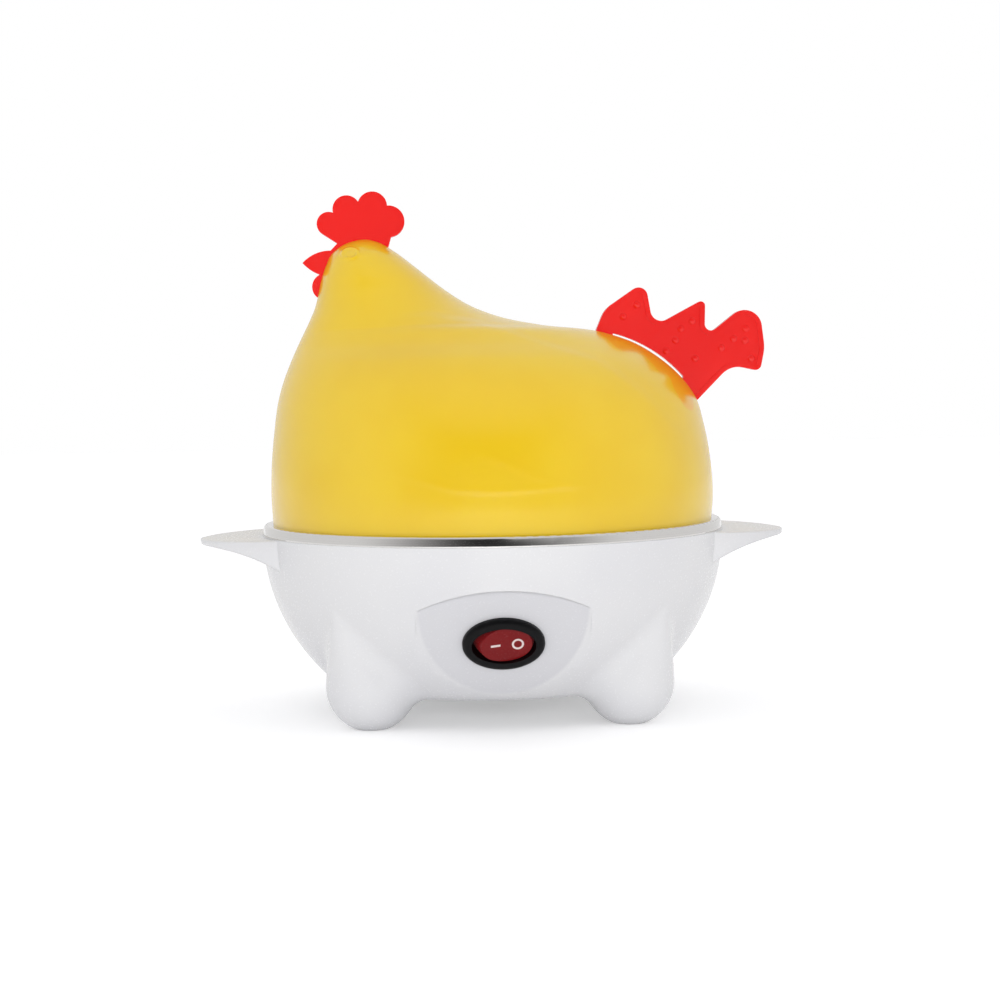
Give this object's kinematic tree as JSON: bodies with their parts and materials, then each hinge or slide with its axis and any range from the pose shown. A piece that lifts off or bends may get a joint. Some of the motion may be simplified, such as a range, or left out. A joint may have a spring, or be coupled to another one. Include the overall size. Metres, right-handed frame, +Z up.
{
  "type": "egg boiler",
  "caption": "Hen-shaped electric egg boiler with a lift-off lid, an egg tray, a heated steel dish, ear handles and a rocker switch on a footed base.",
  "frame": {"origin": "on the table under the middle of the base", "axes": "+Z up, +X from the hen's head to its tail along the ear handles, -Y towards the switch"},
  "size_m": [0.2094, 0.165, 0.185],
  "materials": {
    "white_plastic": "gloss",
    "tray_plastic": "satin",
    "grey_rubber": "matte",
    "steel": "brushed",
    "plated_steel": "zinc plated",
    "aluminium": "cast",
    "black_plastic": "satin",
    "rocker_red": "translucent gloss",
    "lamp_glass": "clear",
    "brass": "plated",
    "sleeve_nylon": "satin",
    "wire_brown": "satin",
    "wire_blue": "satin",
    "lid_yellow": "translucent gloss",
    "plate_red": "gloss"
  },
  "bodies": {
    "base": {"base_cover": "white_plastic", "base_shell": "white_plastic", "block_screw_1": "plated_steel", "block_screw_2": "plated_steel", "bridge_bar": "plated_steel", "bridge_screw_1": "plated_steel", "bridge_screw_2": "plated_steel", "centre_nut": "plated_steel", "centre_stud": "plated_steel", "clamp_screw_1": "plated_steel", "clamp_screw_2": "plated_steel", "cord_clamp": "sleeve_nylon", "cord_gland": "grey_rubber", "cover_screw_1": "plated_steel", "cover_screw_2": "plated_steel", "cover_screw_3": "plated_steel", "fuse_saddle": "plated_steel", "fuse_sleeve": "sleeve_nylon", "heater_pin_1": "brass", "heater_pin_2": "brass", "heater_plate": "aluminium", "heater_ring": "plated_steel", "heating_dish": "steel", "neon_lamp": "lamp_glass", "plate_screw_1": "plated_steel", "plate_screw_2": "plated_steel", "plate_screw_3": "plated_steel", "plate_screw_4": "plated_steel", "receptacle_1": "sleeve_nylon", "receptacle_2": "sleeve_nylon", "receptacle_3": "sleeve_nylon", "receptacle_4": "sleeve_nylon", "switch_flag_1": "sleeve_nylon", "switch_flag_2": "sleeve_nylon", "switch_housing": "black_plastic", "switch_tab_1": "brass", "switch_tab_2": "brass", "terminal_block": "sleeve_nylon", "thermal_fuse": "brass", "thermostat": "black_plastic", "wire_fuse": "wire_brown", "wire_live": "wire_brown", "wire_neutral": "wire_blue", "wire_switched": "wire_brown", "wire_thermostat": "wire_blue"},
    "rocker": {"rocker": "rocker_red"},
    "tray": {"egg_tray": "tray_plastic"},
    "lid": {"lid_shell": "lid_yellow", "comb_plate": "plate_red", "tail_plate": "plate_red"}
  },
  "joints": [
    {"name": "rocker_tilt", "type": "hinge", "parent": "base", "child": "rocker", "pos_m": [0, -0.06489, 0.03322], "axis": [0, 0.4035, -0.915], "range_deg": [0, 16]},
    {"name": "tray_lift", "type": "slide", "parent": "base", "child": "tray", "axis": [0, 0, 1], "range_m": [0, 0.08]},
    {"name": "lid_lift", "type": "slide", "parent": "tray", "child": "lid", "axis": [0, 0, 1], "range_m": [0, 0.12]}
  ]
}
